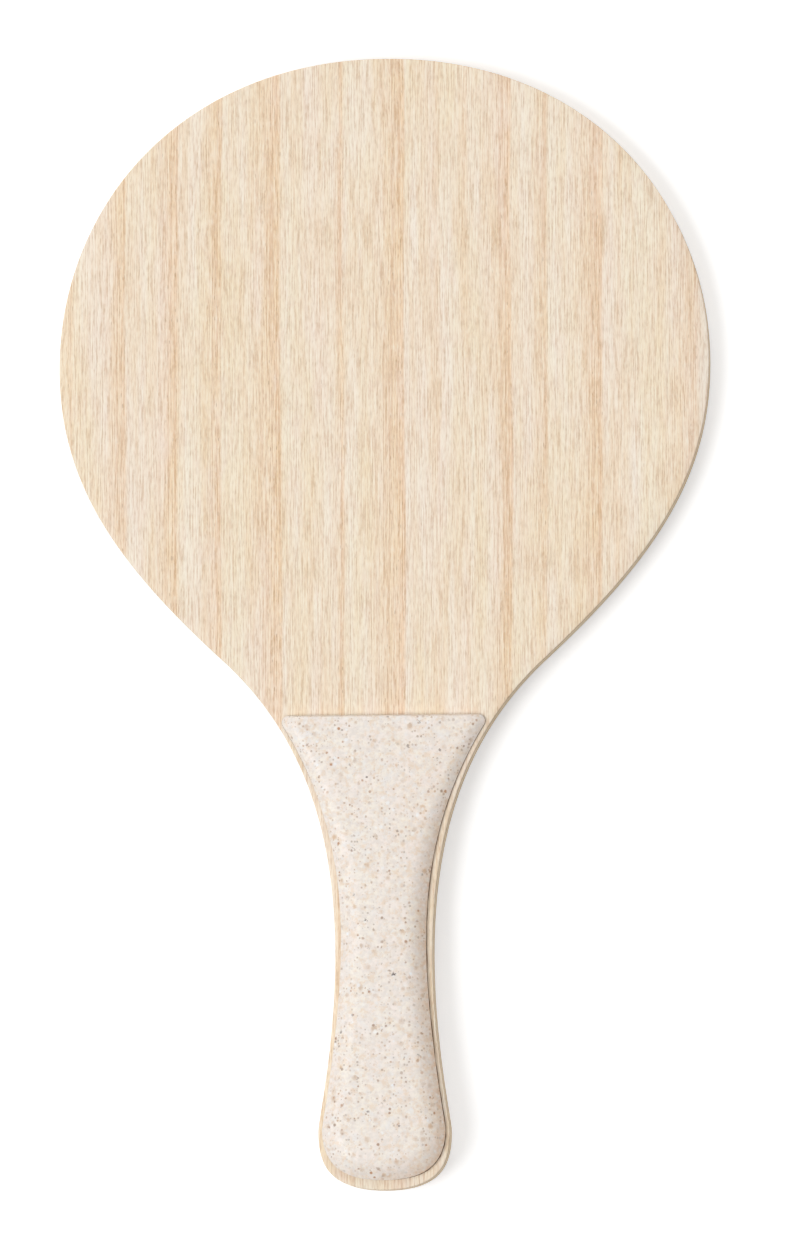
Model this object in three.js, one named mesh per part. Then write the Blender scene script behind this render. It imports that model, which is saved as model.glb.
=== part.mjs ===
// Frescobol racket: a laminated wooden bat with a speckled grip scale bonded to each side of its handle.
// The racket lies flat with its head towards +Y, its width along X and its front face up, towards +Z.
// The origin is under the middle of the racket, level with the flat crown of the back scale.
// Lengths are in millimetres and angles in degrees.
import * as THREE from "three";

// Racket outline in plan: how deep each stretch is along the centre line, from the head's tip to the butt
const crownDepth = 89.9; // tip to the widest line of the head
const cheekDepth = 86.2; // widest line to the shoulder
const throatDepth = 85.8; // shoulder to the waist of the handle
const gripDepth = 50.9; // waist to the flare at the end of the handle
const buttDepth = 17.2; // flare to the end of the butt

// Racket outline in plan: full widths where the stretches meet
const headWidth = 190;
const shoulderWidth = 93.8;
const waistWidth = 28.3;
const flareWidth = 38.2;

// The shoulder's edge leans this far off the centre line
const shoulderLean = 47.4;

// How long each curve holds its end directions, as shares of the depth or half width that it crosses
const crownTopShare = 0.622; // of half the head
const crownSideShare = 0.536; // of the crown
const cheekSideShare = 0.383; // of the cheek
const cheekShoulderShare = 0.503; // of the cheek
const throatShoulderShare = 0.328; // of the throat
const throatWaistShare = 0.467; // of the throat
const gripWaistShare = 0.513; // of the grip
const gripFlareShare = 0.06; // of the grip
const buttFlareShare = 0.481; // of the butt
const buttEndShare = 0.916; // of half the flare

// Board lay-up: a thin veneer and a crossband each side of a light core, with the board's edges eased
const veneerThickness = 0.6;
const crossbandThickness = 1.2;
const coreThickness = 3.4;
const easeRadius = 0.5;

// Grip scale: a slab with a pillow-like rim, thin at its top edge and full from the waist down
const scaleLength = 137.7; // butt of the racket to the scale's top edge
const scaleThickness = 4.5; // from the waist down
const topThickness = 2.6; // at the scale's top edge
const scaleWall = 1; // upright part of the scale's side, from the waist down
const topWall = 0.3; // the same at the top edge
const sideLip = 1.2; // wood left showing along the handle's sides
const waistLip = 2; // the same where it is widest, between the top edge and the waist
const waistLipReach = 31.8; // how far below the waist the lip is back at its side width
const buttLip = 2.8; // wood left showing round the butt
const topSideRound = 4; // width of the rounded rim along the sides, at the top edge
const sideRound = 6.5; // width of the rounded rim along the sides, from the waist down
const buttRound = 7.5; // width of the rounded rim at the butt
const topRound = 0.8; // width of the rounded rim at the top edge
const roundLimitShare = 0.75; // most of the scale's narrowest half width that the rims may take
const cornerRadius = 2; // the scale's two top corners, in plan

// Adhesive film under each scale
const filmThickness = 0.3;
const filmSetback = 0.3; // film edge inside the scale's foot

// How finely the curves are divided
const crownSteps = 22;
const cheekSteps = 16;
const throatSteps = 18;
const gripSteps = 8;
const buttSteps = 14;
const easeStepAngle = 22.5;
const rimSteps = 7;
const cornerSteps = 6;
const scaleSideSteps = 36; // top corner to the flare
const scaleEndSteps = 14; // flare to the butt
const seekSteps = 40; // halvings that find where the scale's side meets its top edge

// Worked-out sizes
const racketLength = crownDepth + cheekDepth + throatDepth + gripDepth + buttDepth;
const boardThickness = coreThickness + 2 * (crossbandThickness + veneerThickness);
const boardFoot = scaleThickness + filmThickness;
const ease = Math.min(easeRadius, boardThickness / 2);
const tipY = racketLength / 2;
const widestY = tipY - crownDepth;
const shoulderY = widestY - cheekDepth;
const waistY = shoulderY - throatDepth;
const flareY = waistY - gripDepth;
const buttY = flareY - buttDepth;
const scaleTopY = buttY + scaleLength;

// Half outline, on the +X side: five curves that share their directions where they meet
function outlineSpans() {
  const lean = THREE.MathUtils.degToRad(shoulderLean);
  const alongShoulder = new THREE.Vector2(-Math.sin(lean), -Math.cos(lean));
  const tip = new THREE.Vector2(0, tipY);
  const widest = new THREE.Vector2(headWidth / 2, widestY);
  const shoulder = new THREE.Vector2(shoulderWidth / 2, shoulderY);
  const waist = new THREE.Vector2(waistWidth / 2, waistY);
  const flare = new THREE.Vector2(flareWidth / 2, flareY);
  const butt = new THREE.Vector2(0, buttY);
  const down = new THREE.Vector2(0, -1);
  const outwards = new THREE.Vector2(1, 0);
  const inwards = outwards.clone().negate();
  const span = (start, startWay, startHold, end, endWay, endHold) => {
    const startHandle = start.clone().addScaledVector(startWay, startHold);
    const endHandle = end.clone().addScaledVector(endWay, -endHold);
    return new THREE.CubicBezierCurve(start, startHandle, endHandle, end);
  };
  const crownTopHold = (crownTopShare * headWidth) / 2;
  const crownSideHold = crownSideShare * crownDepth;
  const cheekSideHold = cheekSideShare * cheekDepth;
  const cheekShoulderHold = cheekShoulderShare * cheekDepth;
  const throatShoulderHold = throatShoulderShare * throatDepth;
  const throatWaistHold = throatWaistShare * throatDepth;
  const gripWaistHold = gripWaistShare * gripDepth;
  const gripFlareHold = gripFlareShare * gripDepth;
  const buttFlareHold = buttFlareShare * buttDepth;
  const buttEndHold = (buttEndShare * flareWidth) / 2;
  return [
    span(tip, outwards, crownTopHold, widest, down, crownSideHold),
    span(widest, down, cheekSideHold, shoulder, alongShoulder, cheekShoulderHold),
    span(shoulder, alongShoulder, throatShoulderHold, waist, down, throatWaistHold),
    span(waist, down, gripWaistHold, flare, down, gripFlareHold),
    span(flare, down, buttFlareHold, butt, inwards, buttEndHold),
  ];
}

const spans = outlineSpans();
const spanSteps = [crownSteps, cheekSteps, throatSteps, gripSteps, buttSteps];
const widestStation = 1;
const flareStation = spans.length - 1;

// Point of the half outline at a station, moved in from the edge. Whole stations are the spans' ends.
function insetPoint(station, insetAt) {
  const index = Math.min(Math.floor(station), spans.length - 1);
  const point = spans[index].getPoint(station - index);
  const way = spans[index].getTangent(station - index);
  const inset = insetAt(point.y);
  return new THREE.Vector2(point.x + way.y * inset, point.y - way.x * inset);
}

// Stations from the tip to the butt, closer together where the outline bends more
function outlineStations() {
  const inner = spanSteps.flatMap((steps, index) => (
    Array.from({ length: steps }, (_, step) => index + step / steps)
  ));
  return [...inner, spans.length];
}

// Whole ring from the points of its +X half, in order from its top to its foot, at each point's own height
function mirroredRing(half, heightAt) {
  const left = half.map((point) => new THREE.Vector3(-point.x, point.y, heightAt(point.y)));
  const offAxis = half.filter((point) => point.x > 0);
  const right = offAxis.map((point) => new THREE.Vector3(point.x, point.y, heightAt(point.y)));
  return [...left, ...right.reverse()];
}

// Faces across a mirrored ring, in straight rows from each left point to its twin on the right
function rowFaces(ring, first) {
  const startsOnAxis = ring[0].x === 0;
  const last = ring.findIndex((point, index) => index > 0 && point.x === 0);
  const twinOf = (index) => (startsOnAxis ? (ring.length - index) % ring.length : ring.length - 1 - index);
  const faces = [];
  for (let index = 0; index < last; index += 1) {
    const next = index + 1;
    if (twinOf(next) !== next) {
      faces.push([first + index, first + next, first + twinOf(next)]);
    }
    if (twinOf(index) !== index) {
      faces.push([first + index, first + twinOf(next), first + twinOf(index)]);
    }
  }
  return faces;
}

// Closed body through a stack of mirrored rings with equal counts of points, stacked upwards or downwards
function loft(rings) {
  const count = rings[0].length;
  const foot = rowFaces(rings[0], 0).map(([a, b, c]) => [c, b, a]);
  const top = rowFaces(rings.at(-1), count * (rings.length - 1));
  const faces = [...foot, ...top];
  for (let ring = 0; ring < rings.length - 1; ring += 1) {
    for (let index = 0; index < count; index += 1) {
      const next = (index + 1) % count;
      const low = ring * count;
      const high = low + count;
      faces.push([low + index, low + next, high + next], [low + index, high + next, high + index]);
    }
  }
  const goesDown = rings.at(-1)[0].z < rings[0][0].z;
  const order = goesDown ? faces.map(([a, b, c]) => [a, c, b]) : faces;
  const geometry = new THREE.BufferGeometry().setFromPoints(rings.flat());
  geometry.setIndex(order.flat());
  geometry.computeVertexNormals();
  return geometry;
}

// How far the eased edge stands in from the outline at a depth below the nearer face
function easeInset(depth) {
  const reach = Math.max(ease - depth, 0);
  return ease - Math.sqrt(ease ** 2 - reach ** 2);
}

// Depths that divide the eased edge evenly by angle between two depths below a face
function easeDepths(from, to) {
  const angleAt = (depth) => Math.acos(1 - Math.min(depth, ease) / ease);
  const start = angleAt(from);
  const turn = angleAt(to) - start;
  const steps = Math.max(Math.ceil(turn / THREE.MathUtils.degToRad(easeStepAngle)), 1);
  const depthAt = (step) => ease * (1 - Math.cos(start + (turn * step) / steps));
  const inner = Array.from({ length: steps }, (_, step) => depthAt(step));
  return turn > 0 ? [...inner.slice(1), Math.min(to, ease)] : [];
}

// One ply between two heights above the board's foot, with the edge profile of the whole board
function plyGeometry(low, high) {
  const middle = boardThickness / 2;
  const lower = low < middle ? easeDepths(low, Math.min(high, middle)) : [];
  const deepest = Math.min(boardThickness - low, middle);
  const upper = high > middle ? easeDepths(boardThickness - high, deepest) : [];
  const upperHeights = upper.map((depth) => boardThickness - depth).reverse();
  const inside = [...lower, ...upperHeights].filter((height) => height > low && height < high);
  const heights = [low, ...inside, high];
  const stations = outlineStations();
  return loft(heights.map((height) => {
    const inset = easeInset(Math.min(height, boardThickness - height));
    const half = stations.map((station) => insetPoint(station, () => inset));
    half[0].x = 0;
    half.at(-1).x = 0;
    return mirroredRing(half, () => boardFoot + height);
  }));
}

// Share of the way down between two heights on the centre line, eased at both ends
function shareDown(y, from, to) {
  return THREE.MathUtils.smoothstep(-y, -from, -to);
}

// Wood left showing beside the scale, wider above the waist and round the butt
function lipAt(y) {
  const waistShare = THREE.MathUtils.clamp((scaleTopY - y) / (scaleTopY - waistY + waistLipReach), 0, 1);
  const waistRise = (waistLip - sideLip) * Math.sin(Math.PI * waistShare) ** 2;
  return sideLip + waistRise + (buttLip - sideLip) * shareDown(y, flareY, buttY);
}

// Thickness of the scale, growing from its top edge to the waist
function thicknessAt(y) {
  return THREE.MathUtils.lerp(topThickness, scaleThickness, shareDown(y, scaleTopY, waistY));
}

// Height of the upright part of the scale's side, growing from its top edge to the waist
function wallAt(y) {
  return THREE.MathUtils.lerp(topWall, scaleWall, shareDown(y, scaleTopY, waistY));
}

// Width of the scale's rounded rim along its sides, never so wide that the crown closes
function roundAt(y) {
  const wanted = THREE.MathUtils.lerp(topSideRound, sideRound, shareDown(y, scaleTopY, waistY));
  const narrowest = Math.min(waistWidth, flareWidth) / 2;
  return Math.min(wanted, roundLimitShare * (narrowest - waistLip));
}

// Station where a line moved in from the outline crosses a height on the centre line
function crossingStation(insetAt, y) {
  let above = widestStation;
  let below = flareStation;
  for (let step = 0; step < seekSteps; step += 1) {
    const middle = (above + below) / 2;
    const isAbove = insetPoint(middle, insetAt).y > y;
    above = isAbove ? middle : above;
    below = isAbove ? below : middle;
  }
  return above;
}

// Half of a scale-shaped outline: a straight top edge, a rounded corner and a side that follows the handle
function scaleHalf(insetAt, topInset) {
  const top = scaleTopY - topInset;
  const cornerStation = crossingStation((y) => insetAt(y) + cornerRadius, top - cornerRadius);
  const centre = insetPoint(cornerStation, (y) => insetAt(y) + cornerRadius);
  const sidePoint = insetPoint(cornerStation, insetAt);
  const start = Math.PI / 2;
  const turn = Math.atan2(sidePoint.y - centre.y, sidePoint.x - centre.x) - start;
  const corner = Array.from({ length: cornerSteps + 1 }, (_, step) => {
    const angle = start + (turn * step) / cornerSteps;
    return new THREE.Vector2(
      centre.x + cornerRadius * Math.cos(angle),
      centre.y + cornerRadius * Math.sin(angle),
    );
  });
  const handle = flareStation - cornerStation;
  const side = Array.from({ length: scaleSideSteps }, (_, step) => (
    insetPoint(cornerStation + (handle * (step + 1)) / scaleSideSteps, insetAt)
  ));
  const end = Array.from({ length: scaleEndSteps }, (_, step) => (
    insetPoint(flareStation + (step + 1) / scaleEndSteps, insetAt)
  ));
  end.at(-1).x = 0;
  return [...corner, ...side, ...end];
}

// Half outline of the scale's crown. Past the flare it is the foot's outline drawn smaller, so it stays round
// where the rim is wider than the butt's own corner.
function crownHalf(foot) {
  const crown = scaleHalf((y) => lipAt(y) + roundAt(y), topRound);
  const flare = foot.at(-1 - scaleEndSteps);
  const narrowed = 1 - roundAt(flareY) / flare.x;
  const shortened = 1 - Math.min(buttRound / (flare.y - foot.at(-1).y), roundLimitShare);
  return crown.map((point, index) => {
    const isPastFlare = index > foot.length - 1 - scaleEndSteps;
    const x = foot[index].x * narrowed;
    const y = THREE.MathUtils.lerp(flare.y, foot[index].y, shortened);
    return isPastFlare ? new THREE.Vector2(x, y) : point;
  });
}

// Grip scale on the front (way 1) or the back (way -1) of the board. Its rim is steepest at its foot.
function scaleGeometry(way) {
  const footZ = way > 0 ? boardFoot + boardThickness + filmThickness : boardFoot - filmThickness;
  const foot = scaleHalf(lipAt, 0);
  const crown = crownHalf(foot);
  const rim = Array.from({ length: rimSteps + 1 }, (_, step) => {
    const fade = step / rimSteps;
    const rise = 1 - (1 - fade) ** 2.2;
    const half = foot.map((point, index) => point.clone().lerp(crown[index], fade));
    return mirroredRing(half, (y) => footZ + way * THREE.MathUtils.lerp(wallAt(y), thicknessAt(y), rise));
  });
  return loft([mirroredRing(foot, () => footZ), ...rim]);
}

// Adhesive film, kept on the flat of the board and just inside the scale's foot
function filmGeometry(way) {
  const sideSetback = Math.max(ease - sideLip, 0) + filmSetback;
  const half = scaleHalf((y) => lipAt(y) + sideSetback, filmSetback);
  const footZ = way > 0 ? boardFoot + boardThickness : boardFoot;
  return loft([mirroredRing(half, () => footZ), mirroredRing(half, () => footZ + way * filmThickness)]);
}

// Finishes
const veneerWood = new THREE.MeshStandardMaterial({ color: 0xecdac4, roughness: 0.72, metalness: 0 });
const crossbandWood = new THREE.MeshStandardMaterial({ color: 0xc3a57f, roughness: 0.8, metalness: 0 });
const coreWood = new THREE.MeshStandardMaterial({ color: 0xe6d0b2, roughness: 0.8, metalness: 0 });
const speckledRubber = new THREE.MeshStandardMaterial({ color: 0xe9dfd3, roughness: 0.6, metalness: 0 });
const driedAdhesive = new THREE.MeshStandardMaterial({ color: 0x8a6d4f, roughness: 0.5, metalness: 0 });

const racket = new THREE.Group();

// Every piece is a named mesh of its own
function addPiece(name, geometry, material) {
  const piece = new THREE.Mesh(geometry, material);
  piece.name = name;
  racket.add(piece);
}

// Board, from the back face to the front
const plies = [
  ["face_veneer_back", veneerThickness, veneerWood],
  ["crossband_back", crossbandThickness, crossbandWood],
  ["core_ply", coreThickness, coreWood],
  ["crossband_front", crossbandThickness, crossbandWood],
  ["face_veneer_front", veneerThickness, veneerWood],
];
let plyFoot = 0;
for (const [name, thickness, wood] of plies) {
  addPiece(name, plyGeometry(plyFoot, plyFoot + thickness), wood);
  plyFoot += thickness;
}

// Handle, the same on both faces
for (const [side, way] of [["front", 1], ["back", -1]]) {
  addPiece(`grip_adhesive_${side}`, filmGeometry(way), driedAdhesive);
  addPiece(`grip_scale_${side}`, scaleGeometry(way), speckledRubber);
}

export default racket;
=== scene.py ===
"""Looks for the frescobol racket: a laminated wooden board with a speckled grip scale bonded to each face.

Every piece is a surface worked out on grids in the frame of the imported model, in metres, and stands for the
node of the same place. The racket lies flat with its head towards +Y and its front face up, towards +Z.
"""

import math

import bmesh
import bpy
import numpy as np
from mathutils import Matrix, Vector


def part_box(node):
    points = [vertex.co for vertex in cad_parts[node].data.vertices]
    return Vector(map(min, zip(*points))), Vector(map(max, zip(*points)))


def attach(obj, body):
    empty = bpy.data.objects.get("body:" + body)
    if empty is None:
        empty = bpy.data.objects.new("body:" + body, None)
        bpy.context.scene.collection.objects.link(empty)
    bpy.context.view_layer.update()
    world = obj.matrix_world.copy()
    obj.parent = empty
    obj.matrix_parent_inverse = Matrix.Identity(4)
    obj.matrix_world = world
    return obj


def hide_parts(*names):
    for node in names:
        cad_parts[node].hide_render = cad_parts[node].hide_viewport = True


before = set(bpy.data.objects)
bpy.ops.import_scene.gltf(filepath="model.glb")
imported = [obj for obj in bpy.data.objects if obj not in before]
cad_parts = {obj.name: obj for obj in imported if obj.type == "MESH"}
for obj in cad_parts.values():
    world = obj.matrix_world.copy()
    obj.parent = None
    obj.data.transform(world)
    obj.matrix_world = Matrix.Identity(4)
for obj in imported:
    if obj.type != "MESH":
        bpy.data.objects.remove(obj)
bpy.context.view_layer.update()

MM = 0.001

# Outline in plan, in millimetres: where its five curves meet on the +X side, from the head's tip to the butt
TIP = (0, 165)
WIDEST = (95, 75.1)
SHOULDER = (46.9, -11.1)
WAIST = (14.15, -96.9)
FLARE = (19.1, -147.8)
BUTT = (0, -165)
SHOULDER_LEAN = math.radians(47.4)
OUTWARDS = (1, 0)
DOWN = (0, -1)
INWARDS = (-1, 0)
ALONG_SHOULDER = (-math.sin(SHOULDER_LEAN), -math.cos(SHOULDER_LEAN))

# Each curve: its start, the way it sets off and how far it holds it, then the same for its end
CURVES = (
    (TIP, OUTWARDS, 59.09, WIDEST, DOWN, 48.186),
    (WIDEST, DOWN, 33.015, SHOULDER, ALONG_SHOULDER, 43.359),
    (SHOULDER, ALONG_SHOULDER, 28.142, WAIST, DOWN, 40.069),
    (WAIST, DOWN, 26.112, FLARE, DOWN, 3.054),
    (FLARE, DOWN, 8.273, BUTT, INWARDS, 17.496),
)
WIDEST_STATION = 1
FLARE_STATION = 4
LAST_STATION = 5

# Board, in millimetres: its eased edge, the share that this wanders by with a seed for each side, the groove
# at each seam, and how finely it is drawn. Here and below side 1 is towards +X and side -1 towards -X.
EASE = 0.3
EASE_WANDER = 0.2
EASE_SEEDS = {1: 5, -1: 11}
SEAM_DEPTH = 0.04
SEAM_REACH = 0.05
STATIONS = 360
LENGTH_SAMPLES = 4001
FACE_COLUMNS = 24
EASE_STEPS = 24

# Grip scale, in millimetres: thin at its top edge, full from the waist down. CROWN is the share of its height
# that it falls by towards its sides.
SCALE_TOP_Y = -27.3
TOP_THICKNESS = 2.6
SCALE_THICKNESS = 4.5
TOP_WALL = 0.3
WALL = 1.0
SIDE_LIP = 1.2
WAIST_LIP = 2.0
WAIST_LIP_END_Y = -128.7
BUTT_LIP = 2.8
TOP_END_RIM = 4
SIDE_RIM = 6.5
BUTT_RIM = 7.5
TOP_EDGE_RIM = 0.8
CORNER = 2
CROWN = 0.12
CROWN_NARROWEST = 5
RIM_POWER = 2.2
RIM_ROWS = 16
CORNER_POINTS = 12
CORNER_SAMPLES = 6001
SIDE_POINTS = 120
END_POINTS = 60
SCALE_COLUMNS = 32
CENTRE_COLUMN = SCALE_COLUMNS // 2

# Bond: how far out and in of the scale's foot its edge may lie, in millimetres, the share of that way in at
# which it does, how far the share wanders with a seed for each side, and where it turns to the butt's
SQUEEZE = 0.24
TOP_SQUEEZE = 0.12
TOP_SHARE = 0.36
# Painted shade: the dark squeeze-out shows widest on the right, where it darkens the shaded crease beside the
# scale, and stays mostly under the foot on the lit left
RIGHT_SHARE = 0.18
LEFT_SHARE = 0.62
BUTT_SHARE = 0.5
SHARE_WANDER = 0.15
WANDER_PERIODS = (9, 17, 29, 43)
WANDER_SEEDS = (21, 34)
BUTT_TURN_X = (13, 1)

# Meshes, in metres: points closer than this are one, shorter edges are dropped, and these angles stay sharp
MERGE_DISTANCE = 1e-7
SLIVER_LENGTH = 1e-8
SHARP_DEGREES = 35


def curve_grid():
    """Four control points of each of the five curves: start, start plus its hold, end minus its hold, end."""
    rows = []
    for start, start_way, start_hold, end, end_way, end_hold in CURVES:
        start, start_way, end, end_way = (np.array(v, float) for v in (start, start_way, end, end_way))
        rows.append([start, start + start_way * start_hold, end - end_way * end_hold, end])
    return np.array(rows)


CONTROL = curve_grid()


def outline(station):
    """Points and unit directions of the half outline at an array of stations.

    The whole part of a station picks the curve and the rest is the share along it. A point is the sum of the
    curve's four control points, weighted by the cubic binomial terms, and its direction is that sum's slope.
    """
    index = np.minimum(station.astype(int), len(CONTROL) - 1)
    share = station - index
    rest = 1 - share
    weights = np.stack([rest**3, 3 * rest**2 * share, 3 * rest * share**2, share**3], 1)
    slopes = np.stack([rest**2, 2 * rest * share, share**2], 1)
    control = CONTROL[index]
    points = np.einsum("sk,skc->sc", weights, control)
    ways = np.einsum("sk,skc->sc", slopes, np.diff(control, axis=1))
    return points, ways / np.linalg.norm(ways, axis=1, keepdims=True)


def inset_points(station, inset):
    """Outline points moved towards the inside by an inset, square to the outline's direction."""
    points, ways = outline(station)
    amount = inset(points[:, 1]) if callable(inset) else inset
    return points + np.stack([ways[:, 1], -ways[:, 0]], 1) * np.reshape(amount, (-1, 1))


def even_stations(first, last, count):
    """Stations between two stations, evenly spaced along the outline's own length."""
    dense = np.linspace(first, last, LENGTH_SAMPLES)
    points, _ = outline(dense)
    length = np.r_[0, np.cumsum(np.linalg.norm(np.diff(points, axis=0), axis=1))]
    return np.interp(np.linspace(0, length[-1], count), length, dense)


def slow_wave(count, seed, periods=(2, 3, 5, 8, 13)):
    """Smooth wave of about unit height that is zero at both ends: seeded sines under one arch."""
    draw = np.random.default_rng(seed)
    along = np.linspace(0, 1, count)
    heights = draw.normal(0, 1, len(periods)) / np.sqrt(len(periods))
    phases = draw.uniform(0, 2 * np.pi, len(periods))
    waves = np.sin(2 * np.pi * np.outer(along, periods) + phases) @ heights
    return waves * np.sin(np.pi * along) ** 0.5


def grid_faces(rows, columns, first):
    """Quads between neighbouring rows and columns of a grid whose first point has the index given."""
    corner = first + np.arange(rows - 1)[:, None] * columns + np.arange(columns - 1)[None, :]
    quads = np.stack([corner, corner + 1, corner + columns + 1, corner + columns], -1)
    return quads.reshape(-1, 4)


def make_piece(name, grids, finish, node):
    """Closed mesh from grids of points in millimetres whose edges meet, riding on the root body."""
    points = np.concatenate([grid.reshape(-1, 3) for grid in grids]) * MM
    faces, first = [], 0
    for grid in grids:
        faces.append(grid_faces(grid.shape[0], grid.shape[1], first))
        first += grid.shape[0] * grid.shape[1]
    mesh = bpy.data.meshes.new(name)
    mesh.from_pydata(points.tolist(), [], np.concatenate(faces).tolist())
    shell = bmesh.new()
    shell.from_mesh(mesh)
    bmesh.ops.remove_doubles(shell, verts=shell.verts, dist=MERGE_DISTANCE)
    bmesh.ops.dissolve_degenerate(shell, edges=shell.edges, dist=SLIVER_LENGTH)
    bmesh.ops.recalc_face_normals(shell, faces=shell.faces)
    shell.to_mesh(mesh)
    shell.free()
    mesh.shade_smooth()
    mesh.set_sharp_from_angle(angle=math.radians(SHARP_DEGREES))
    mesh.materials.append(finish)
    piece = bpy.data.objects.new(name, mesh)
    bpy.context.scene.collection.objects.link(piece)
    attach(piece, "root")
    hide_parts(node)
    return piece


def row_grid(left, right, height, columns):
    """Straight rows from each left point to its right point, at one height or at a height for each point."""
    share = np.linspace(0, 1, columns + 1)[None, :, None]
    plan = left[:, None, :] * (1 - share) + right[:, None, :] * share
    rise = height(plan[..., 0], plan[..., 1]) if callable(height) else np.full(plan.shape[:2], height)
    return np.concatenate([plan, rise[..., None]], -1)


# Board

BOARD_STATIONS = even_stations(0, LAST_STATION, STATIONS)
EASES = {side: EASE * (1 + EASE_WANDER * slow_wave(STATIONS, seed)) for side, seed in EASE_SEEDS.items()}
BOARD_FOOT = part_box("face_veneer_back")[0].z / MM
BOARD_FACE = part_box("face_veneer_front")[1].z / MM
BOARD_MIDDLE = (BOARD_FOOT + BOARD_FACE) / 2


def ease_inset(side, height):
    """How far one side of the board stands in from its outline at a height, for each station.

    The eased edge is a quarter circle: at a depth below the nearer face it stands in by its radius less the
    root of the radius squared minus the remaining depth squared.
    """
    depth = min(height - BOARD_FOOT, BOARD_FACE - height)
    radius = EASES[side]
    reach = np.maximum(radius - depth, 0)
    return radius - np.sqrt(radius**2 - reach**2)


def ply_heights(low, high):
    """Heights through one ply: close together where the eased edge turns, with a step at each seam."""
    depths = EASE * (1 - np.cos(np.linspace(0, np.pi / 2, EASE_STEPS + 1)))
    heights = np.r_[BOARD_FOOT + depths, BOARD_MIDDLE, BOARD_FACE - depths]
    clear = SEAM_REACH * 1.5
    inner = heights[(heights > low + clear) & (heights < high - clear)]
    return np.r_[low, low + SEAM_REACH, np.unique(inner), high - SEAM_REACH, high]


def make_ply(name, node, finish):
    """One ply: the board's eased profile between the ply's two heights, closed by two faces of straight rows.

    A seam is a fine groove: the first and last heights stand in a little more, but not at the board's faces.
    """
    low, high = (corner.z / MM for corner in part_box(node))
    heights = ply_heights(low, high)
    sides = {}
    for side in (1, -1):
        rings = []
        for height in heights:
            inset = ease_inset(side, height)
            at_seam = height in (low, high) and BOARD_FOOT + SEAM_REACH < height < BOARD_FACE - SEAM_REACH
            plan = inset_points(BOARD_STATIONS, inset + SEAM_DEPTH * at_seam)
            plan[[0, -1], 0] = 0
            rings.append(np.c_[plan[:, 0] * side, plan[:, 1], np.full(len(plan), height)])
        sides[side] = np.array(rings)
    caps = [row_grid(sides[-1][end][:, :2], sides[1][end][:, :2], heights[end], FACE_COLUMNS)
            for end in (0, -1)]
    return make_piece(name, [sides[1], sides[-1], *caps], finish, node)


# Grip

def smooth_share(value, start, end):
    """Share of the way between two values, held at its ends and eased at both."""
    share = np.clip((value - start) / (end - start), 0, 1)
    return share**2 * (3 - 2 * share)


def lip(y):
    """Wood left showing beside the scale: one sine-squared rise above the waist, and wider round the butt."""
    share = np.clip((SCALE_TOP_Y - y) / (SCALE_TOP_Y - WAIST_LIP_END_Y), 0, 1)
    above_waist = (WAIST_LIP - SIDE_LIP) * np.sin(np.pi * share) ** 2
    return SIDE_LIP + above_waist + (BUTT_LIP - SIDE_LIP) * smooth_share(y, FLARE[1], BUTT[1])


def thickness(y):
    """Thickness of the scale, growing from its top edge to the waist."""
    return TOP_THICKNESS + (SCALE_THICKNESS - TOP_THICKNESS) * smooth_share(y, SCALE_TOP_Y, WAIST[1])


def wall(y):
    """Height of the scale's upright side, growing from its top edge to the waist."""
    return TOP_WALL + (WALL - TOP_WALL) * smooth_share(y, SCALE_TOP_Y, WAIST[1])


def rim_width(y):
    """Width of the scale's rounded rim along its sides, growing from its top edge to the waist."""
    return TOP_END_RIM + (SIDE_RIM - TOP_END_RIM) * smooth_share(y, SCALE_TOP_Y, WAIST[1])


def scale_half(inset, top_inset):
    """Half outline of the scale in plan: a straight top edge from the centre line, a corner, and the side.

    The corner is an arc about the point that lies its radius inside both the top edge and the side. The side
    follows the outline at its inset down to the butt.
    """
    top = SCALE_TOP_Y - top_inset
    dense = np.linspace(WIDEST_STATION, FLARE_STATION, CORNER_SAMPLES)
    inner = inset_points(dense, lambda y: inset(y) + CORNER)
    corner_station = np.interp(-(top - CORNER), -inner[:, 1], dense)
    handle = even_stations(corner_station, FLARE_STATION, SIDE_POINTS + 1)
    end = even_stations(FLARE_STATION, LAST_STATION, END_POINTS + 1)
    side = inset_points(np.r_[handle[:-1], end], inset)
    side[-1, 0] = 0
    centre = inset_points(np.array([corner_station]), lambda y: inset(y) + CORNER)[0]
    last_angle = math.atan2(side[0, 1] - centre[1], side[0, 0] - centre[0])
    angles = np.linspace(math.pi / 2, last_angle, CORNER_POINTS + 1)
    corner = centre + CORNER * np.stack([np.cos(angles), np.sin(angles)], 1)
    edge_x = np.linspace(0, corner[0, 0], CENTRE_COLUMN + 1)
    edge = np.stack([edge_x, np.full(CENTRE_COLUMN + 1, top)], 1)
    return np.concatenate([edge[:-1], corner[:-1], side])


def crown_half(foot):
    """Half outline of the scale's crown: inside the foot by the rim, and past the flare the foot drawn small.

    Past the flare each point keeps its share of the foot's half width and of the foot's depth, so that the
    contour stays round where the rim is wider than the butt's own corner.
    """
    crown = scale_half(lambda y: lip(y) + rim_width(y), TOP_EDGE_RIM)
    end = slice(-END_POINTS - 1, None)
    flare = foot[-END_POINTS - 1]
    depth = flare[1] - foot[-1, 1]
    crown[end, 0] = foot[end, 0] * (1 - SIDE_RIM / flare[0])
    crown[end, 1] = flare[1] - (flare[1] - foot[end, 1]) * (1 - BUTT_RIM / depth)
    return crown


SCALE_FOOT = scale_half(lip, 0)
SCALE_CROWN = crown_half(SCALE_FOOT)
FOOT_SIDE = SCALE_FOOT[CENTRE_COLUMN + CORNER_POINTS:]


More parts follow.
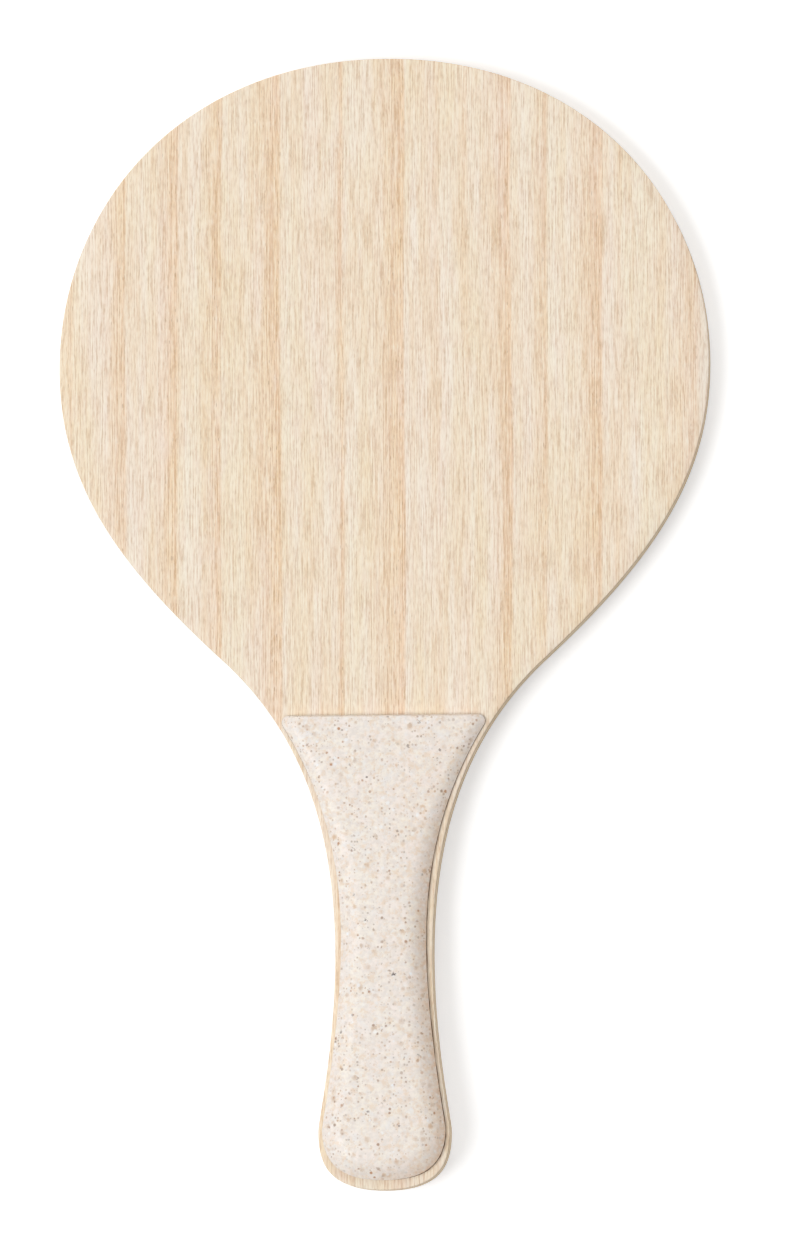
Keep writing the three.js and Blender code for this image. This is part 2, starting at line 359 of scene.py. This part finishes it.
def crowned(height, x, y):
    """Height lowered towards the sides by a share of itself that grows as the square of the way out."""
    half = np.interp(-y, -FOOT_SIDE[:, 1], FOOT_SIDE[:, 0])
    across = np.clip(np.abs(x) / np.maximum(half, CROWN_NARROWEST), 0, 1)
    return height * (1 - CROWN * across**2)


def make_scale(name, node, finish, way):
    """Grip scale: its foot, a short wall and a rim that is steepest at its foot, closed by a crowned top.

    At a share s of the way in from the foot to the crown, the rim has risen by 1 - (1 - s)^RIM_POWER of the
    way from the top of the wall to the scale's thickness there.
    """
    low, high = (corner.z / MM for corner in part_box(node))
    foot = low if way > 0 else high
    rings = [np.c_[SCALE_FOOT, np.full(len(SCALE_FOOT), foot)]]
    for share in np.linspace(0, 1, RIM_ROWS + 1):
        plan = SCALE_FOOT * (1 - share) + SCALE_CROWN * share
        edge = wall(plan[:, 1])
        height = edge + (thickness(plan[:, 1]) - edge) * (1 - (1 - share) ** RIM_POWER)
        rings.append(np.c_[plan, foot + way * crowned(height, plan[:, 0], plan[:, 1])])
    right = np.array(rings)
    left = right * (-1, 1, 1)
    flat = row_grid(left[0, CENTRE_COLUMN:, :2], right[0, CENTRE_COLUMN:, :2], foot, SCALE_COLUMNS)
    crown = row_grid(left[-1, CENTRE_COLUMN:, :2], right[-1, CENTRE_COLUMN:, :2],
                     lambda x, y: foot + way * crowned(thickness(y), x, y), SCALE_COLUMNS)
    return make_piece(name, [right, left, flat, crown], finish, node)


def make_bond(name, node, finish, way):
    """Adhesive film under a scale, squeezed out past its foot by an uneven hair's breadth: a real glue line,
    and where it shows widest, on the right, also painted shade in the crease beside the scale.

    Its edge lies between two outlines, one outside the scale's foot and one inside it, by a share of the way
    in. That share wanders down each side, is held along the top edge and turns to another round the butt.
    """
    low, high = (corner.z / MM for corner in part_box(node))
    count = END_POINTS + SIDE_POINTS + CORNER_POINTS + 1
    outer = scale_half(lambda y: lip(y) - SQUEEZE, -TOP_SQUEEZE)
    inner = scale_half(lambda y: lip(y) + SQUEEZE, SQUEEZE)
    down_side = smooth_share(outer[:, 1], SCALE_TOP_Y, WAIST[1])
    round_butt = smooth_share(outer[:, 0], *BUTT_TURN_X) * (outer[:, 1] < FLARE[1])
    sides = {}
    for side, seed, held in zip((1, -1), WANDER_SEEDS, (RIGHT_SHARE, LEFT_SHARE)):
        wander = held + SHARE_WANDER * slow_wave(count, seed + way, WANDER_PERIODS)
        share = TOP_SHARE + (np.r_[np.full(CENTRE_COLUMN, TOP_SHARE), wander] - TOP_SHARE) * down_side
        share += (BUTT_SHARE - share) * round_butt
        plan = outer + (inner - outer) * np.clip(share, 0, 1)[:, None]
        plan[:, 0] *= side
        sides[side] = np.array([np.c_[plan, np.full(len(plan), height)] for height in (low, high)])
    caps = [row_grid(sides[-1][k, CENTRE_COLUMN:, :2], sides[1][k, CENTRE_COLUMN:, :2], height, SCALE_COLUMNS)
            for k, height in ((0, low), (1, high))]
    return make_piece(name, [sides[1], sides[-1], *caps], finish, node)


# Shader helpers

def put(tree, kind, given=None, **settings):
    """New shader node with its settings, and its inputs set to values or fed by the sockets given."""
    made = tree.nodes.new(kind)
    for key, value in settings.items():
        setattr(made, key, value)
    for socket, value in (given or {}).items():
        if isinstance(value, bpy.types.NodeSocket):
            tree.links.new(value, made.inputs[socket])
        else:
            made.inputs[socket].default_value = value
    return made


def fill_group(tree, shared, given):
    """A shared group placed in a material, with its inputs set or fed by name."""
    return put(tree, "ShaderNodeGroup", given, node_tree=shared).outputs


def sums(tree, operation, first, second=0.0, clamp=False):
    """Result of one arithmetic step."""
    return put(tree, "ShaderNodeMath", {0: first, 1: second}, operation=operation, use_clamp=clamp).outputs[0]


def mixed(tree, share, first, second):
    """Two colours mixed by a share."""
    return put(tree, "ShaderNodeMix", {0: share, 6: first, 7: second}, data_type="RGBA").outputs[2]


def spread(tree, value, low, high, to_low=0.0, to_high=1.0, smooth=True):
    """Value carried from one range to another, held at its ends."""
    kind = "SMOOTHSTEP" if smooth else "LINEAR"
    given = {"Value": value, "From Min": low, "From Max": high, "To Min": to_low, "To Max": to_high}
    return put(tree, "ShaderNodeMapRange", given, interpolation_type=kind).outputs["Result"]


def stretched(tree, place, size, offset=(0, 0, 0)):
    """Place in millimetres divided by a size for each axis, after a shift."""
    given = {"Vector": place, "Location": offset, "Scale": tuple(1 / s for s in size)}
    return put(tree, "ShaderNodeMapping", given, vector_type="POINT").outputs["Vector"]


def cloud(tree, place, size, detail=2.0, roughness=0.5, offset=(0, 0, 0)):
    """Soft noise about 0.5 whose features have the size given, in millimetres."""
    given = {"Vector": stretched(tree, place, size, offset), "Scale": 1.0, "Detail": detail,
             "Roughness": roughness}
    return put(tree, "ShaderNodeTexNoise", given).outputs["Fac"]


def group(name, inputs, outputs):
    """Empty shader node group with named sockets, its input node and its output node."""
    tree = bpy.data.node_groups.new(name, "ShaderNodeTree")
    for socket, kind in inputs:
        tree.interface.new_socket(socket, in_out="INPUT", socket_type=kind)
    for socket, kind in outputs:
        tree.interface.new_socket(socket, in_out="OUTPUT", socket_type=kind)
    return tree, tree.nodes.new("NodeGroupInput").outputs, tree.nodes.new("NodeGroupOutput").inputs


def colour(red, green, blue):
    """Colour as written in eight-bit steps, for a shader socket."""
    steps = np.array([red, green, blue]) / 255
    linear = np.where(steps <= 0.04045, steps / 12.92, ((steps + 0.055) / 1.055) ** 2.4)
    return (*linear.tolist(), 1.0)


FLOAT = "NodeSocketFloat"
VECTOR = "NodeSocketVector"


def make_grain_group():
    """Straight wood grain drawn out along Y: flecks, threads, a comb of long lines, streaks and pores."""
    tree, given, result = group(
        "straight_grain",
        [("Place", VECTOR), ("Pore Share", FLOAT)],
        [("Fleck", FLOAT), ("Thread", FLOAT), ("Lines", FLOAT), ("Comb", FLOAT), ("Streak", FLOAT),
         ("Pores", FLOAT), ("Relief", FLOAT)],
    )
    place = given["Place"]
    fleck = cloud(tree, place, (0.36, 2.2, 0.36), 2, 0.5)
    thread = cloud(tree, place, (0.36, 12, 0.36), 1, 0.5, (2.2, 5.1, 8.3))
    comb = cloud(tree, place, (0.42, 70, 0.42), 1, 0.5, (9.4, 1.8, 3.6))
    breaks = cloud(tree, place, (0.5, 1.6, 0.5), 2, 0.5, (6.1, 2.7, 4.9))
    streak = cloud(tree, place, (1.7, 24, 1.7), 2, 0.6, (3.1, 7.7, 1.3))
    cells = put(tree, "ShaderNodeTexVoronoi",
                {"Vector": stretched(tree, place, (0.55, 3.2, 0.55)), "Scale": 1.0, "Randomness": 1.0})
    chosen = put(tree, "ShaderNodeSeparateColor", {0: cells.outputs["Color"]})
    reach = sums(tree, "MULTIPLY", chosen.outputs[1], 0.2)
    core = spread(tree, sums(tree, "SUBTRACT", cells.outputs["Distance"], reach), -0.02, 0.08, 1.0, 0.0)
    kept = sums(tree, "LESS_THAN", chosen.outputs[0], given["Pore Share"])
    pores = sums(tree, "MULTIPLY", core, kept)
    lines = sums(tree, "MULTIPLY", spread(tree, thread, 0.47, 0.64), spread(tree, breaks, 0.38, 0.6))
    tree.links.new(spread(tree, fleck, 0.22, 0.78, 0, 1, False), result["Fleck"])
    tree.links.new(spread(tree, thread, 0.22, 0.78, 0, 1, False), result["Thread"])
    tree.links.new(lines, result["Lines"])
    tree.links.new(spread(tree, comb, 0.46, 0.62), result["Comb"])
    tree.links.new(spread(tree, streak, 0.28, 0.72, 0, 1, False), result["Streak"])
    tree.links.new(pores, result["Pores"])
    relief = sums(tree, "SUBTRACT", sums(tree, "MULTIPLY", fleck, 0.5), pores)
    tree.links.new(relief, result["Relief"])
    return tree


def make_speck_group():
    """Irregular specks: the cores of a share of the cells of a pattern, of uneven size and soft outline."""
    tree, given, result = group(
        "specks",
        [("Place", VECTOR), ("Size", FLOAT), ("Shift", VECTOR), ("Reach", FLOAT), ("Share", FLOAT),
         ("Softness", FLOAT)],
        [("Mask", FLOAT), ("Hue", FLOAT)],
    )
    size = put(tree, "ShaderNodeCombineXYZ", {axis: given["Size"] for axis in range(3)}).outputs[0]
    scaled = put(tree, "ShaderNodeVectorMath", {0: given["Place"], 1: size}, operation="DIVIDE").outputs[0]
    moved = put(tree, "ShaderNodeVectorMath", {0: scaled, 1: given["Shift"]}, operation="ADD").outputs[0]
    uneven = {"Vector": moved, "Scale": 5.5, "Detail": 3.0, "Roughness": 0.7}
    ragged = put(tree, "ShaderNodeTexNoise", uneven).outputs["Color"]
    off = put(tree, "ShaderNodeVectorMath", {0: ragged, 3: 0.55}, operation="SCALE").outputs[0]
    place = put(tree, "ShaderNodeVectorMath", {0: moved, 1: off}, operation="ADD").outputs[0]
    cells = put(tree, "ShaderNodeTexVoronoi", {"Vector": place, "Scale": 1.0, "Randomness": 1.0})
    chosen = put(tree, "ShaderNodeSeparateColor", {0: cells.outputs["Color"]})
    limit = sums(tree, "MULTIPLY", sums(tree, "POWER", chosen.outputs[1], 1.5), given["Reach"])
    away = sums(tree, "SUBTRACT", cells.outputs["Distance"], limit)
    inside = sums(tree, "MULTIPLY", given["Softness"], -0.5)
    core = spread(tree, away, inside, given["Softness"], 1.0, 0.0)
    kept = sums(tree, "LESS_THAN", chosen.outputs[0], given["Share"])
    tree.links.new(sums(tree, "MULTIPLY", core, kept), result["Mask"])
    tree.links.new(chosen.outputs[2], result["Hue"])
    return tree


def new_material(name, **plain):
    """Material with a Principled shader whose uniform values are set on its own sockets."""
    made = bpy.data.materials.new(name)
    made.use_nodes = True
    shader = made.node_tree.nodes["Principled BSDF"]
    for socket, value in plain.items():
        shader.inputs[socket.replace("_", " ")].default_value = value
    return made, made.node_tree, shader


def millimetres(tree):
    """Object coordinates in millimetres."""
    source = put(tree, "ShaderNodeTexCoord").outputs["Object"]
    return put(tree, "ShaderNodeVectorMath", {0: source, 3: 1 / MM}, operation="SCALE").outputs[0]


def bumped(tree, shader, height, distance, strength=1.0):
    """Relief of a height, in metres at full height, fed to the shader's normal."""
    made = put(tree, "ShaderNodeBump", {"Height": height, "Distance": distance, "Strength": strength})
    tree.links.new(made.outputs["Normal"], shader.inputs["Normal"])


GRAIN = make_grain_group()
SPECKS = make_speck_group()

# Growth bands of the two faces: where each late line lies across the blade, in millimetres, and its darkness
FRONT_LINES = (
    (-91, 0.4), (-75.8, 0.6), (-60.4, 0.75), (-47.8, 0.75), (-30.4, 0.85), (-18, 0.2), (-11.9, 0.75),
    (6, 0.88), (16.5, 0.28), (25, 0.28), (37.2, 0.8), (47.8, 0.5), (63.8, 0.75), (69, 0.25), (91.5, 0.5),
)
BACK_LINES = (
    (-88, 0.4), (-70.5, 0.7), (-64, 0.25), (-56, 0.45), (-41.5, 0.8), (-22, 0.5), (-6.5, 0.4), (1, 0.25),
    (13.5, 0.75), (31, 0.55), (45, 0.35), (60.5, 0.7), (79, 0.6), (93, 0.35),
)

# Half the span of the bands' ramp and how far past a line they drop, in millimetres, and their strength
HALF_WIDTH = 97
LINE_FALL = 1.2
EDGE_VALUES = (0.1, 0.2)
BAND_POWER = 2.5
BAND_SHARE_AT_BUTT = 0.45
BAND_SHARE_ON_HEAD = 0.78

# Hues of the face wood in eight-bit steps, two where it drifts between them, and how strongly three show
EARLY_WOOD = ((249, 239, 218), (250, 239, 226))
LATE_WOOD = ((243, 202, 152), (245, 201, 160))
BLOTCH, BLOTCH_SHARE = (244, 225, 212), 0.42
BROAD_BAND, BROAD_SHARE = (240, 210, 162), 0.36
STREAK, STREAK_SHARE = (240, 209, 166), 0.25
COMB_LINE = (210, 160, 116)
BROKEN_LINE = (210, 163, 117)
PORE = (176, 136, 98)
PALE_HAIR = (255, 248, 232)
DARK_HAIR = (201, 174, 143)


def growth_bands(tree, x, lines):
    """Darkness of the growth bands, a power of a ramp that rises up to each line and drops just past it."""
    ramp = put(tree, "ShaderNodeValToRGB", {0: spread(tree, x, -HALF_WIDTH, HALF_WIDTH, 0, 1, False)})
    stops = ramp.color_ramp.elements
    for end, value in enumerate(EDGE_VALUES):
        stops[end].position, stops[end].color = end, (value, value, value, 1)
    for line, dark in lines:
        for x_at, value in ((line, dark ** (1 / BAND_POWER)), (line + LINE_FALL, 0.0)):
            stop = stops.new((x_at + HALF_WIDTH) / (2 * HALF_WIDTH))
            stop.color = (value, value, value, 1)
    return sums(tree, "POWER", ramp.outputs["Color"], BAND_POWER)


def face_wood(name, lines, shift):
    """Pale straight-grained wood: growth bands that fade towards the butt, fibres, pores, a drift of hue."""
    made, tree, shader = new_material(name, Roughness=0.6)
    place = millimetres(tree)
    moved = stretched(tree, place, (1, 1, 1), shift)
    wander = cloud(tree, moved, (50, 140, 50), 2, 0.5)
    ripple = cloud(tree, moved, (9, 28, 9), 2, 0.5, (11, 5, 2))
    apart = put(tree, "ShaderNodeSeparateXYZ", {0: place})
    x = sums(tree, "ADD", apart.outputs[0], spread(tree, wander, 0, 1, -1.6, 1.6, False))
    x = sums(tree, "ADD", x, spread(tree, ripple, 0, 1, -0.5, 0.5, False))
    fade = spread(tree, apart.outputs[1], FLARE[1], SCALE_TOP_Y, BAND_SHARE_AT_BUTT, BAND_SHARE_ON_HEAD)
    bands = sums(tree, "MULTIPLY", growth_bands(tree, x, lines), fade)
    grain = fill_group(tree, GRAIN, {"Place": moved, "Pore Share": 0.3})
    drift = spread(tree, cloud(tree, moved, (13, 150, 13), 3, 0.55, (4, 9, 6)), 0.34, 0.66)
    early = mixed(tree, drift, *(colour(*hue) for hue in EARLY_WOOD))
    late = mixed(tree, drift, *(colour(*hue) for hue in LATE_WOOD))
    shade = mixed(tree, bands, early, late)
    blotch = spread(tree, cloud(tree, moved, (3.4, 7, 3.4), 2, 0.5, (1, 6, 9)), 0.4, 0.7)
    shade = mixed(tree, sums(tree, "MULTIPLY", blotch, BLOTCH_SHARE), shade, colour(*BLOTCH))
    broad = spread(tree, cloud(tree, moved, (4.2, 60, 4.2), 2, 0.5, (8, 3, 2)), 0.32, 0.68)
    shade = mixed(tree, sums(tree, "MULTIPLY", broad, BROAD_SHARE), shade, colour(*BROAD_BAND))
    shade = mixed(tree, sums(tree, "MULTIPLY", grain["Streak"], STREAK_SHARE), shade, colour(*STREAK))
    comb = sums(tree, "MULTIPLY", grain["Comb"], spread(tree, bands, 0.02, 0.45, 0.06, 0.36))
    shade = mixed(tree, comb, shade, colour(*COMB_LINE))
    thick = spread(tree, bands, 0, 0.6, 0.34, 0.62)
    shade = mixed(tree, sums(tree, "MULTIPLY", grain["Lines"], thick), shade, colour(*BROKEN_LINE))
    pores = sums(tree, "MULTIPLY", grain["Pores"], spread(tree, bands, 0, 0.5, 0.25, 0.75))
    shade = mixed(tree, pores, shade, colour(*PORE))
    for hairs, weight in ((grain["Fleck"], 0.46), (grain["Thread"], 0.42)):
        shade = mixed(tree, spread(tree, hairs, 0, 0.5, weight, 0, False), shade, colour(*PALE_HAIR))
        shade = mixed(tree, spread(tree, hairs, 0.5, 1, 0, weight, False), shade, colour(*DARK_HAIR))
    tree.links.new(shade, shader.inputs["Base Color"])
    tree.links.new(spread(tree, grain["Fleck"], 0, 1, 0.55, 0.68, False), shader.inputs["Roughness"])
    bumped(tree, shader, grain["Relief"], 0.00005, 0.6)
    return made


def ply_wood(name, light, dark, turned, pores):
    """Bare wood of an inner ply, seen only along the edge. A turned ply's grain runs across the board."""
    made, tree, shader = new_material(name, Roughness=0.75)
    place = millimetres(tree)
    if turned:
        turn = {"Vector": place, "Rotation": (0, 0, math.pi / 2), "Location": (7, 3, 2)}
        place = put(tree, "ShaderNodeMapping", turn).outputs["Vector"]
    grain = fill_group(tree, GRAIN, {"Place": place, "Pore Share": pores})
    shade = mixed(tree, grain["Streak"], light, dark)
    shade = mixed(tree, spread(tree, grain["Fleck"], 0.4, 1, 0, 0.5, False), shade, dark)
    shade = mixed(tree, sums(tree, "MULTIPLY", grain["Pores"], 0.7), shade, colour(120, 88, 58))
    tree.links.new(shade, shader.inputs["Base Color"])
    bumped(tree, shader, grain["Relief"], 0.00008, 0.7)
    return made


# Hues of the grip's body, between two, its mottle, and its cool and tan clouds with how strongly they show
GRIP_PALE = ((250, 242, 230), (250, 239, 231))
MOTTLE = (235, 226, 218)
COOL_CLOUD, COOL_SHARE = (240, 240, 240), 0.4
TAN_CLOUD, TAN_SHARE = (233, 210, 184), 0.62

# Specks of the grip: cell size in millimetres, reach of the largest as a share of a cell, share of the cells
# that have one, softness of the outline, shift of the pattern, two hues, and how strongly it shows
SPECK_KINDS = (
    (2.0, 0.38, 0.38, 0.3, (1, 2, 3), (216, 182, 146), (206, 188, 172), 0.85),
    (0.8, 0.42, 0.34, 0.22, (9, 3, 1), (200, 166, 134), (190, 177, 166), 0.8),
    (1.15, 0.36, 0.27, 0.18, (5, 1, 7), (190, 140, 101), (168, 150, 136), 0.9),
    (1.7, 0.24, 0.2, 0.14, (2, 8, 4), (168, 122, 88), (148, 136, 130), 0.85),
    (3.9, 0.12, 0.28, 0.06, (6, 6, 2), (106, 82, 68), (104, 100, 100), 0.95),
    (1.7, 0.3, 0.3, 0.22, (4, 9, 8), (253, 251, 248), (248, 250, 253), 0.75),
)

# Painted warm shade on the scales, standing in for the shade and warm bounce on their rims: it ends at a
# height above the foot, and is strongest on the right and at the butt
SCALE_FOOT_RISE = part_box("grip_scale_front")[0].z / MM - BOARD_MIDDLE
PAINTED_WARM_SHADE = (228, 188, 148)
PAINTED_SHADE_RISE = 4.6
PAINTED_SHADE_LEFT = (-9, 0.05)
PAINTED_SHADE_RIGHT = (19, 1.0)
PAINTED_SHADE_SHARE_AT_TOP = 0.15


def speckled(name):
    """Off-white grip compound: a soft mottle, specks of several kinds and a faint painted warm shade low on
    the rim.
    """
    made, tree, shader = new_material(name, Roughness=0.45)
    place = millimetres(tree)
    mottle = spread(tree, cloud(tree, place, (1.3, 1.3, 1.3), 4, 0.65), 0.32, 0.68)
    tan = spread(tree, cloud(tree, place, (1.9, 1.9, 1.9), 4, 0.7, (7, 3, 5)), 0.48, 0.66)
    rosy = spread(tree, cloud(tree, place, (4.5, 4.5, 4.5), 2, 0.5, (2, 9, 4)), 0.35, 0.65)
    cool = spread(tree, cloud(tree, place, (3.2, 3.2, 3.2), 3, 0.6, (5, 2, 8)), 0.5, 0.72)
    light = mixed(tree, rosy, *(colour(*hue) for hue in GRIP_PALE))
    shade = mixed(tree, mottle, light, colour(*MOTTLE))
    shade = mixed(tree, sums(tree, "MULTIPLY", cool, COOL_SHARE), shade, colour(*COOL_CLOUD))
    shade = mixed(tree, sums(tree, "MULTIPLY", tan, TAN_SHARE), shade, colour(*TAN_CLOUD))
    crowd = spread(tree, cloud(tree, place, (5.5, 5.5, 5.5), 2, 0.5, (3, 4, 9)), 0.36, 0.62, 0.35, 1.1)
    for size, reach, share, softness, shift, first, second, weight in SPECK_KINDS:
        speck = fill_group(tree, SPECKS, {"Place": place, "Size": size, "Shift": shift, "Reach": reach,
                                          "Share": share, "Softness": softness})
        tint = mixed(tree, speck["Hue"], colour(*first), colour(*second))
        weight = sums(tree, "MULTIPLY", crowd, weight)
        shade = mixed(tree, sums(tree, "MULTIPLY", speck["Mask"], weight, True), shade, tint)
    axes = put(tree, "ShaderNodeSeparateXYZ", {0: place}).outputs
    # Painted shade: a warm darkening low on the scale's rim, strongest on the right and towards the butt,
    # where the shade falls
    height = sums(tree, "ABSOLUTE", sums(tree, "SUBTRACT", axes[2], BOARD_MIDDLE))
    height = sums(tree, "SUBTRACT", height, SCALE_FOOT_RISE)
    uneven = spread(tree, cloud(tree, place, (1.4, 1.4, 1.4), 3, 0.6, (8, 1, 6)), 0.3, 0.7, 0.25, 1.0)
    painted_shade = sums(tree, "MULTIPLY", spread(tree, height, 0.1, PAINTED_SHADE_RISE, 1.0, 0.0, False), uneven)
    (left_x, left_share), (right_x, right_share) = PAINTED_SHADE_LEFT, PAINTED_SHADE_RIGHT
    sideways = spread(tree, axes[0], left_x, right_x, left_share, right_share)
    lengthways = spread(tree, axes[1], WAIST[1], SCALE_TOP_Y, 1.0, PAINTED_SHADE_SHARE_AT_TOP)
    painted_shade = sums(tree, "MULTIPLY", sums(tree, "MULTIPLY", painted_shade, sideways), lengthways)
    shade = mixed(tree, painted_shade, shade, colour(*PAINTED_WARM_SHADE))
    tree.links.new(shade, shader.inputs["Base Color"])
    fine = cloud(tree, place, (0.35, 0.35, 0.35), 3, 0.6)
    tree.links.new(spread(tree, mottle, 0, 1, 0.42, 0.5, False), shader.inputs["Roughness"])
    bumped(tree, shader, fine, 0.00003, 0.4)
    return made


def bond_finish(name):
    """Dried contact adhesive, brown and a little patchy."""
    made, tree, shader = new_material(name, Roughness=0.5)
    place = millimetres(tree)
    patches = spread(tree, cloud(tree, place, (2, 2, 2), 3, 0.6), 0.3, 0.7)
    shade = mixed(tree, patches, colour(124, 90, 58), colour(96, 68, 42))
    tree.links.new(shade, shader.inputs["Base Color"])
    return made


front_wood = face_wood("face_wood_front", FRONT_LINES, (0, 0, 0))
back_wood = face_wood("face_wood_back", BACK_LINES, (37, 210, 5))
crossband_wood = ply_wood("crossband_wood", colour(220, 190, 152), colour(196, 162, 120), True, 0.6)
core_wood = ply_wood("core_wood", colour(246, 228, 200), colour(234, 210, 174), False, 0.4)
grip_compound = speckled("grip_compound")
bond = bond_finish("grip_bond")

make_ply("front_face_sheet", "face_veneer_front", front_wood)
make_ply("front_cross_sheet", "crossband_front", crossband_wood)
make_ply("board_core", "core_ply", core_wood)
make_ply("back_cross_sheet", "crossband_back", crossband_wood)
make_ply("back_face_sheet", "face_veneer_back", back_wood)
make_scale("front_grip_scale", "grip_scale_front", grip_compound, 1)
make_scale("back_grip_scale", "grip_scale_back", grip_compound, -1)
make_bond("front_grip_bond", "grip_adhesive_front", bond, 1)
make_bond("back_grip_bond", "grip_adhesive_back", bond, -1)


# Floor, in millimetres, and how brightly it glows to the eye without lighting anything
FLOOR_HALF = 3000
FLOOR_POINTS = 5
FLOOR_GAP = 0.02
FLOOR_LIFT = 0.45
FLOOR_SHADE = (0.8, 0.8, 0.8, 1)
WHITE = (1, 1, 1, 1)
REST_SAMPLES = 400


def resting_line():
    """Height at y = 0 and slope of the line that the racket rests on, along its centre line.

    The line starts under the back face at the head's tip. It is as steep as the steepest line from there to
    the back scale's crown, so that it meets the crown without crossing it.
    """
    tip_y, tip_z = TIP[1] - EASE, BOARD_FOOT
    y = np.linspace(SCALE_TOP_Y, WAIST[1], REST_SAMPLES)
    crown_z = SCALE_THICKNESS - thickness(y)
    slope = np.max((tip_z - crown_z) / (tip_y - y))
    return tip_z - slope * tip_y - FLOOR_GAP, slope


def make_floor():
    """Pale floor that meets the back scale's crown and the underside of the head's tip."""
    height, slope = resting_line()
    steps = np.linspace(-FLOOR_HALF, FLOOR_HALF, FLOOR_POINTS)
    x, y = np.meshgrid(steps, steps)
    points = np.stack([x, y, height + y * slope], -1).reshape(-1, 3) * MM
    mesh = bpy.data.meshes.new("floor")
    mesh.from_pydata(points.tolist(), [], grid_faces(FLOOR_POINTS, FLOOR_POINTS, 0).tolist())
    made, tree, shader = new_material("floor_white", Base_Color=FLOOR_SHADE, Roughness=0.9,
                                      Specular_IOR_Level=0, Emission_Color=WHITE)
    tree.links.new(sums(tree, "MULTIPLY", seen(tree), FLOOR_LIFT), shader.inputs["Emission Strength"])
    mesh.materials.append(made)
    floor = bpy.data.objects.new("floor", mesh)
    bpy.context.scene.collection.objects.link(floor)


def seen(tree):
    """One for camera, glossy and transmitted rays, and zero for the rays that carry light."""
    path = put(tree, "ShaderNodeLightPath")
    either = sums(tree, "MAXIMUM", path.outputs["Is Camera Ray"], path.outputs["Is Glossy Ray"])
    return sums(tree, "MAXIMUM", either, path.outputs["Is Transmission Ray"])


# Even light from all round, and the lamps: name, share of the light on a level face, azimuth and elevation in
# degrees, and width in metres
FILL = 0.34
LAMP_DISTANCE = 5.0
LAMPS = (
    ("key", 0.47, 206, 55, 3.0),
    ("head_side", 0.19, 80, 38, 4.5),
)


def make_lamp(name, share, azimuth, elevation, size):
    """Round lamp that gives a level face at the racket its share of the light."""
    lamp = bpy.data.lights.new(name, "AREA")
    lamp.shape = "DISK"
    lamp.size = size
    azimuth, elevation = math.radians(azimuth), math.radians(elevation)
    flat_share = math.sin(elevation)
    lamp.energy = share * math.pi**2 * LAMP_DISTANCE**2 / flat_share
    level = math.cos(elevation)
    way = np.array([level * math.cos(azimuth), level * math.sin(azimuth), flat_share])
    made = bpy.data.objects.new(name, lamp)
    made.location = (way * LAMP_DISTANCE).tolist()
    made.rotation_mode = "QUATERNION"
    made.rotation_quaternion = made.location.to_track_quat("Z", "Y")
    bpy.context.scene.collection.objects.link(made)


def make_light():
    """Soft key from the left and the butt end, a weaker wide lamp from beyond the head, and an even fill."""
    world = bpy.data.worlds.new("studio")
    bpy.context.scene.world = world
    world.use_nodes = True
    tree = world.node_tree
    back = tree.nodes["Background"]
    back.inputs["Color"].default_value = WHITE
    tree.links.new(spread(tree, seen(tree), 0, 1, FILL, 1.0, False), back.inputs["Strength"])
    for lamp in LAMPS:
        make_lamp(*lamp)


# The camera looks a little from the right and from the butt end, so that the board's edge shows there. Its
# distance and shift are in millimetres, and its sensor spans the picture's longer side, the height.
VIEW_RIGHT = math.radians(5.64)
VIEW_BUTTWARDS = math.radians(5.39)
VIEW_ROLL = math.radians(0.61)
VIEW_DISTANCE = 3000
VIEW_SHIFT = (6.27, -1.07)
FRAME_PIXELS = 1250
PIXELS_PER_MM = 3.4433
FRAME_HEIGHT = FRAME_PIXELS / PIXELS_PER_MM
SENSOR_WIDTH = 36


def make_camera():
    """Camera far from the racket, its axes turned by the view's lean and roll, with no lens shift."""
    back = np.array([math.sin(VIEW_RIGHT), -math.sin(VIEW_BUTTWARDS), 0])
    back[2] = math.sqrt(1 - back @ back)
    level = np.array([1, 0, 0]) - back[0] * back
    level /= np.linalg.norm(level)
    upright = np.cross(back, level)
    right = math.cos(VIEW_ROLL) * level - math.sin(VIEW_ROLL) * upright
    up = math.sin(VIEW_ROLL) * level + math.cos(VIEW_ROLL) * upright
    place = np.array([0, 0, BOARD_FACE]) + back * VIEW_DISTANCE + right * VIEW_SHIFT[0] + up * VIEW_SHIFT[1]
    data = bpy.data.cameras.new("camera")
    data.sensor_width = SENSOR_WIDTH
    data.lens = SENSOR_WIDTH * VIEW_DISTANCE / FRAME_HEIGHT
    camera = bpy.data.objects.new("camera", data)
    camera.matrix_world = Matrix(np.vstack([np.c_[right, up, back, place * MM], [0, 0, 0, 1]]).tolist())
    bpy.context.scene.collection.objects.link(camera)
    bpy.context.scene.camera = camera


make_floor()
make_light()
make_camera()
bpy.context.scene.view_settings.view_transform = "Standard"
